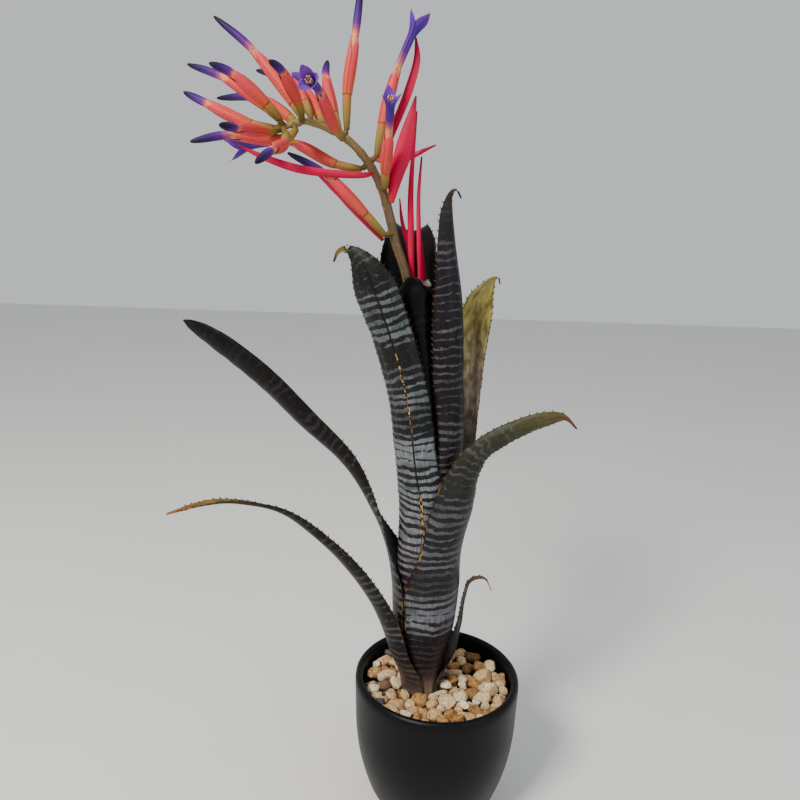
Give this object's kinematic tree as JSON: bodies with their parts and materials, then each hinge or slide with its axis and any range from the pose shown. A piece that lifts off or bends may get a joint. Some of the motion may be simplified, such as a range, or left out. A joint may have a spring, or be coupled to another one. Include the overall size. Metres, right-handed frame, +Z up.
{
  "type": "potted bromeliad",
  "caption": "Tube bromeliad with banded dark leaves and an arching spray of coral and violet flowers, in a round matt charcoal pot topped with pale gravel.",
  "frame": {"origin": "centre of the pot's flat underside", "axes": "+Z up, +Y to the back, +X to the right as the plant is seen from its front, where the flower spray leans to the left"},
  "size_m": [0.2655, 0.1463, 0.5641],
  "materials": {
    "pot_glaze": "matt charcoal glaze, slightly speckled",
    "potting_mix": "dark bark and coir potting mix",
    "pebbles": "dry cream, tan and ochre gravel",
    "stalk": "olive brown living stalk",
    "leaf": "near-black leaf with silver-grey cross bands, satin",
    "dry_leaf": "dried brown leaf",
    "bract": "magenta crimson papery bract",
    "sepal": "salmon coral sepals on an olive yellow ovary",
    "petal": "deep violet petals, pale at their base"
  },
  "bodies": {
    "root": {"pot": "pot_glaze", "soil": "potting_mix", "gravel": "pebbles", "scape": "stalk", "leaf_left_low": "leaf", "leaf_small_dry": "dry_leaf", "leaf_arching_right": "leaf", "leaf_left_long": "leaf", "leaf_right_back": "leaf", "leaf_front_left": "leaf", "leaf_right_tall": "leaf", "leaf_back": "leaf", "leaf_inner_left": "leaf", "leaf_inner_front": "leaf", "bract_sail": "bract", "bract_ribbon": "bract", "bract_upright": "bract", "bract_slim": "bract", "bract_left": "bract", "bract_right": "bract", "bract_swept": "bract", "bract_under": "bract", "bract_side": "bract", "calyx_01": "sepal", "corolla_01": "petal", "calyx_02": "sepal", "corolla_02": "petal", "calyx_03": "sepal", "corolla_03": "petal", "calyx_04": "sepal", "corolla_04": "petal", "calyx_05": "sepal", "corolla_05": "petal", "calyx_06": "sepal", "corolla_06": "petal", "calyx_07": "sepal", "corolla_07": "petal", "calyx_08": "sepal", "corolla_08": "petal", "calyx_09": "sepal", "corolla_09": "petal", "calyx_10": "sepal", "corolla_10": "petal", "calyx_11": "sepal", "corolla_11": "petal", "calyx_12": "sepal", "corolla_12": "petal", "calyx_13": "sepal", "corolla_13": "petal", "calyx_14": "sepal", "corolla_14": "petal", "calyx_15": "sepal", "corolla_15": "petal", "calyx_16": "sepal", "corolla_16": "petal", "calyx_17": "sepal", "corolla_17": "petal", "calyx_18": "sepal", "corolla_18": "petal"}
  },
  "joints": []
}
